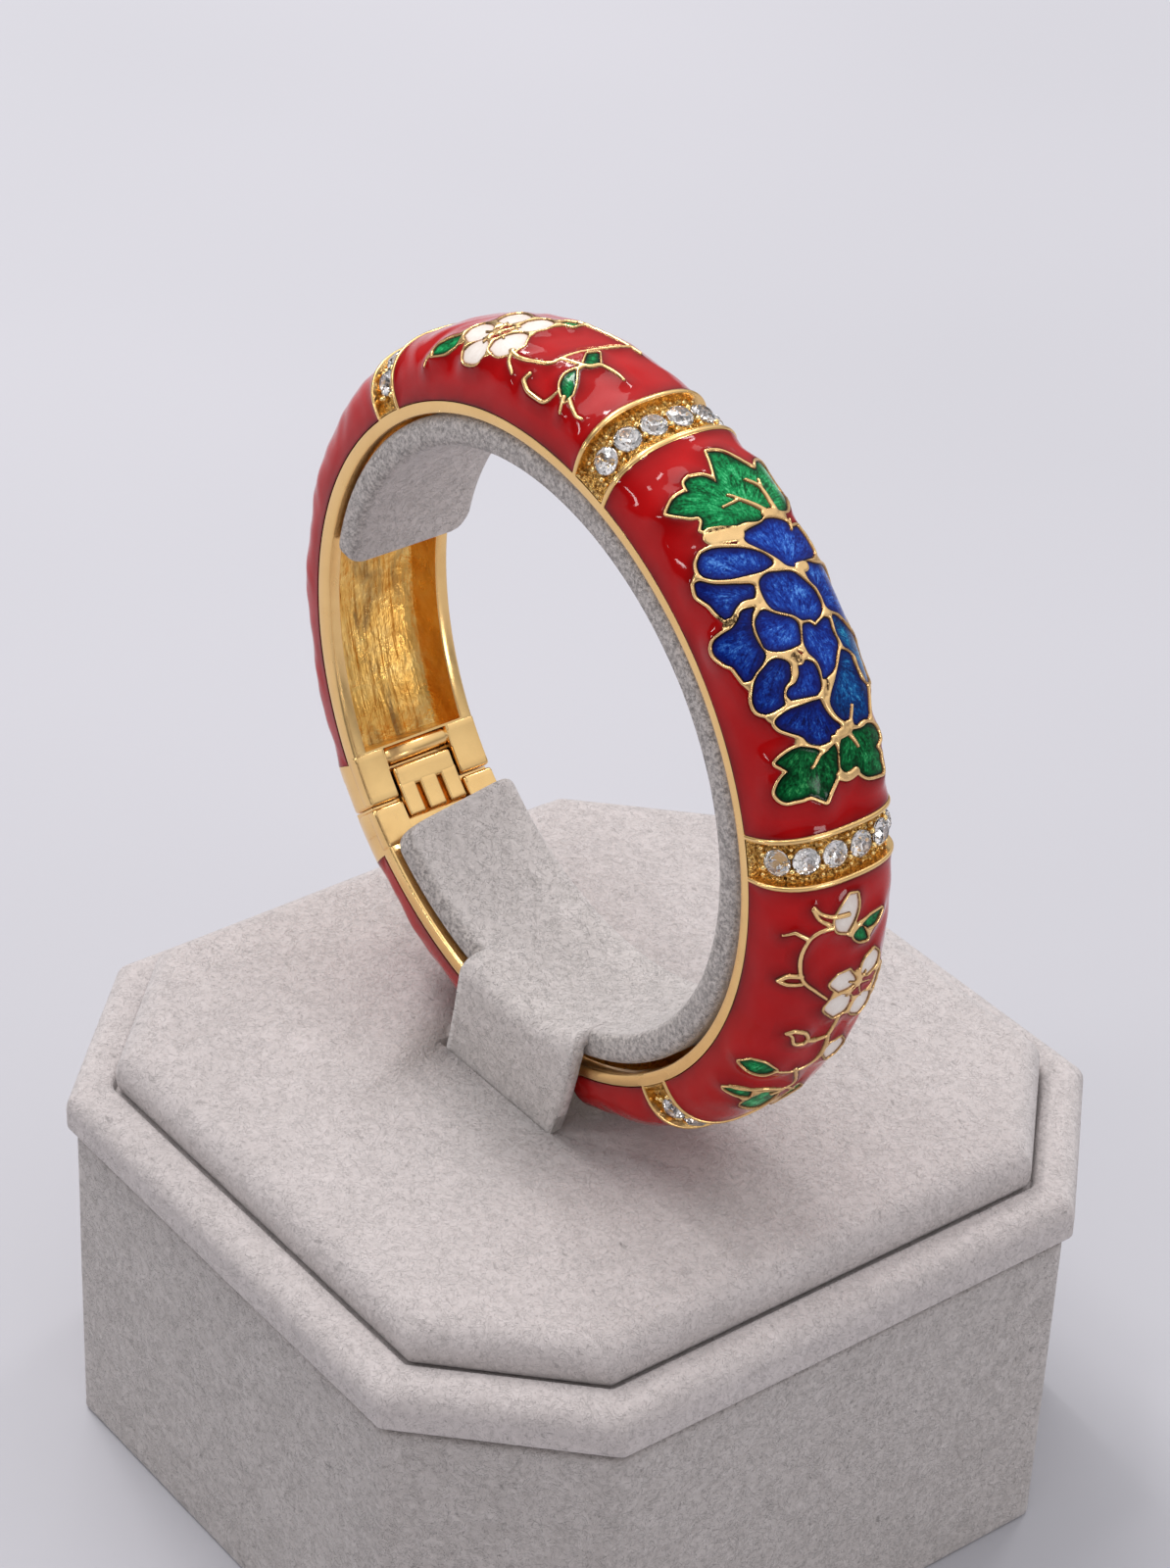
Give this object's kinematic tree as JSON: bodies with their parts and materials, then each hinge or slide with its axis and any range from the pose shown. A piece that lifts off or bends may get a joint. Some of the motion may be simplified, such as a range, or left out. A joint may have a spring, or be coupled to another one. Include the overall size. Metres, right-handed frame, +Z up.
{
  "type": "hinged cuff bangle on display stand",
  "caption": "Oval hinged cuff bangle with a domed enamelled band, raised gilt outlines and bars of set stones, held upright round a collar on a plain suede display stand.",
  "frame": {"origin": "middle of the foot of the stand", "axes": "+Z up; +X to the right and +Y away along the axis of the bangle, seen from the side with the neck tab of the collar"},
  "size_m": [0.0734, 0.0746, 0.1051],
  "materials": {
    "suede": "greige microsuede",
    "gilt": "satin gilding",
    "enamel_red": "glossy enamel",
    "enamel_blue": "pearly enamel",
    "enamel_green": "pearly enamel",
    "enamel_white": "pearly enamel",
    "crystal": "cut and polished"
  },
  "bodies": {
    "stand_and_front": {"stand_base": "suede", "stand_rim": "suede", "stand_pad": "suede", "collar": "suede", "bangle_frame": "gilt", "hinge_pin": "gilt", "red_left": "enamel_red", "red_top": "enamel_red", "red_peony": "enamel_red", "red_right": "enamel_red", "red_low": "enamel_red", "peony_petals": "enamel_blue", "peony_leaves": "enamel_green", "blossom_top": "enamel_white", "blossom_right": "enamel_white", "buds": "enamel_white", "leaves_top": "enamel_green", "leaves_right": "enamel_green", "stone_a1": "crystal", "stone_a2": "crystal", "stone_a3": "crystal", "stone_a4": "crystal", "stone_a5": "crystal", "stone_a6": "crystal", "stone_b1": "crystal", "stone_b2": "crystal", "stone_b3": "crystal", "stone_b4": "crystal", "stone_b5": "crystal", "stone_b6": "crystal", "stone_c1": "crystal", "stone_c2": "crystal", "stone_c3": "crystal", "stone_c4": "crystal", "stone_c5": "crystal", "stone_c6": "crystal", "stone_d1": "crystal", "stone_d2": "crystal", "stone_d3": "crystal", "stone_d4": "crystal", "stone_d5": "crystal", "stone_d6": "crystal"},
    "arm": {"rear_arm": "gilt", "red_arm": "enamel_red"}
  },
  "joints": [
    {"name": "hinge", "type": "hinge", "parent": "stand_and_front", "child": "arm", "pos_m": [-0.023, -0.0019, 0.05383], "axis": [0, 1, 0], "range_deg": [0, 5], "stiffness_Nm_per_rad": 0.1, "springref_deg": -11.46}
  ]
}
